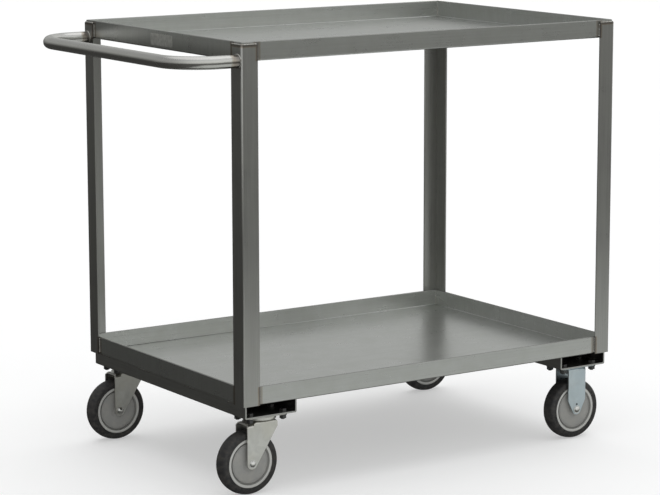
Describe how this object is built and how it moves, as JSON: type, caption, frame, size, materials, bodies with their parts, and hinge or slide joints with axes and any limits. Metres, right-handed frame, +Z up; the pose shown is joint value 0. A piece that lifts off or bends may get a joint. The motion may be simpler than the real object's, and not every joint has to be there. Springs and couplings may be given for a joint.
{
  "type": "two-shelf service cart",
  "caption": "Stainless service cart: two lipped sheet-metal shelves on angle corner posts, a tubular push handle, and swivel and rigid casters on channel bolsters.",
  "frame": {"origin": "on the floor, under the middle of the whole cart's bounding box, push handle included", "axes": "+X along the cart, away from the push handle, +Y across it, +Z up from the floor"},
  "size_m": [1.0378, 0.6194, 0.887],
  "materials": {
    "stainless_sheet": "brushed",
    "stainless_section": "brushed",
    "stainless_tube": "satin",
    "plate_metal": "satin",
    "zinc_swivel": "bright zinc plate",
    "zinc_rigid": "bright zinc plate",
    "axle_hardware": "bright",
    "mounting_hardware": "dull",
    "bearing_steel": "polished, oiled",
    "grey_core": "moulded satin",
    "black_rubber": "smooth tread"
  },
  "bodies": {
    "cart": {"upper_shelf": "stainless_sheet", "lower_shelf": "stainless_sheet", "post_handle_front": "stainless_section", "post_handle_back": "stainless_section", "post_end_front": "stainless_section", "post_end_back": "stainless_section", "push_handle": "stainless_tube", "maker_plate": "plate_metal", "bolster_handle_end": "stainless_section", "bolster_far_end": "stainless_section", "swivel_front_top_plate": "zinc_swivel", "swivel_front_upper_race": "zinc_swivel", "swivel_front_upper_balls": "bearing_steel", "swivel_front_lower_balls": "bearing_steel", "swivel_front_lower_race": "zinc_swivel", "swivel_front_king_pin": "zinc_swivel", "swivel_front_king_nut": "zinc_swivel", "swivel_front_bolts": "mounting_hardware", "swivel_front_nuts": "mounting_hardware", "swivel_back_top_plate": "zinc_swivel", "swivel_back_upper_race": "zinc_swivel", "swivel_back_upper_balls": "bearing_steel", "swivel_back_lower_balls": "bearing_steel", "swivel_back_lower_race": "zinc_swivel", "swivel_back_king_pin": "zinc_swivel", "swivel_back_king_nut": "zinc_swivel", "swivel_back_bolts": "mounting_hardware", "swivel_back_nuts": "mounting_hardware", "rigid_front_top_plate": "zinc_rigid", "rigid_front_fork": "zinc_rigid", "rigid_front_bolts": "mounting_hardware", "rigid_front_nuts": "mounting_hardware", "rigid_front_axle_bolt": "axle_hardware", "rigid_front_axle_nut": "axle_hardware", "rigid_front_axle_sleeve": "axle_hardware", "rigid_back_top_plate": "zinc_rigid", "rigid_back_fork": "zinc_rigid", "rigid_back_bolts": "mounting_hardware", "rigid_back_nuts": "mounting_hardware", "rigid_back_axle_bolt": "axle_hardware", "rigid_back_axle_nut": "axle_hardware", "rigid_back_axle_sleeve": "axle_hardware"},
    "swivel_front_fork": {"swivel_front_yoke": "zinc_swivel", "swivel_front_axle_bolt": "axle_hardware", "swivel_front_axle_nut": "axle_hardware", "swivel_front_axle_sleeve": "axle_hardware"},
    "swivel_front_wheel": {"swivel_front_wheel_core": "grey_core", "swivel_front_tyre": "black_rubber"},
    "swivel_back_fork": {"swivel_back_yoke": "zinc_swivel", "swivel_back_axle_bolt": "axle_hardware", "swivel_back_axle_nut": "axle_hardware", "swivel_back_axle_sleeve": "axle_hardware"},
    "swivel_back_wheel": {"swivel_back_wheel_core": "grey_core", "swivel_back_tyre": "black_rubber"},
    "rigid_front_wheel": {"rigid_front_wheel_core": "grey_core", "rigid_front_tyre": "black_rubber"},
    "rigid_back_wheel": {"rigid_back_wheel_core": "grey_core", "rigid_back_tyre": "black_rubber"}
  },
  "joints": [
    {"name": "swivel_front_turn", "type": "hinge", "parent": "cart", "child": "swivel_front_fork", "pos_m": [-0.32115, -0.26475, 0.158], "axis": [0, 0, 1], "continuous": true},
    {"name": "swivel_front_spin", "type": "hinge", "parent": "swivel_front_fork", "child": "swivel_front_wheel", "pos_m": [-0.35315, -0.26475, 0.064], "axis": [0, 1, 0], "continuous": true},
    {"name": "rigid_front_spin", "type": "hinge", "parent": "cart", "child": "rigid_front_wheel", "pos_m": [0.45385, -0.26475, 0.064], "axis": [0, 1, 0], "continuous": true},
    {"name": "swivel_back_turn", "type": "hinge", "parent": "cart", "child": "swivel_back_fork", "pos_m": [-0.32115, 0.26475, 0.158], "axis": [0, 0, 1], "continuous": true},
    {"name": "swivel_back_spin", "type": "hinge", "parent": "swivel_back_fork", "child": "swivel_back_wheel", "pos_m": [-0.35315, 0.26475, 0.064], "axis": [0, 1, 0], "continuous": true},
    {"name": "rigid_back_spin", "type": "hinge", "parent": "cart", "child": "rigid_back_wheel", "pos_m": [0.45385, 0.26475, 0.064], "axis": [0, 1, 0], "continuous": true}
  ]
}
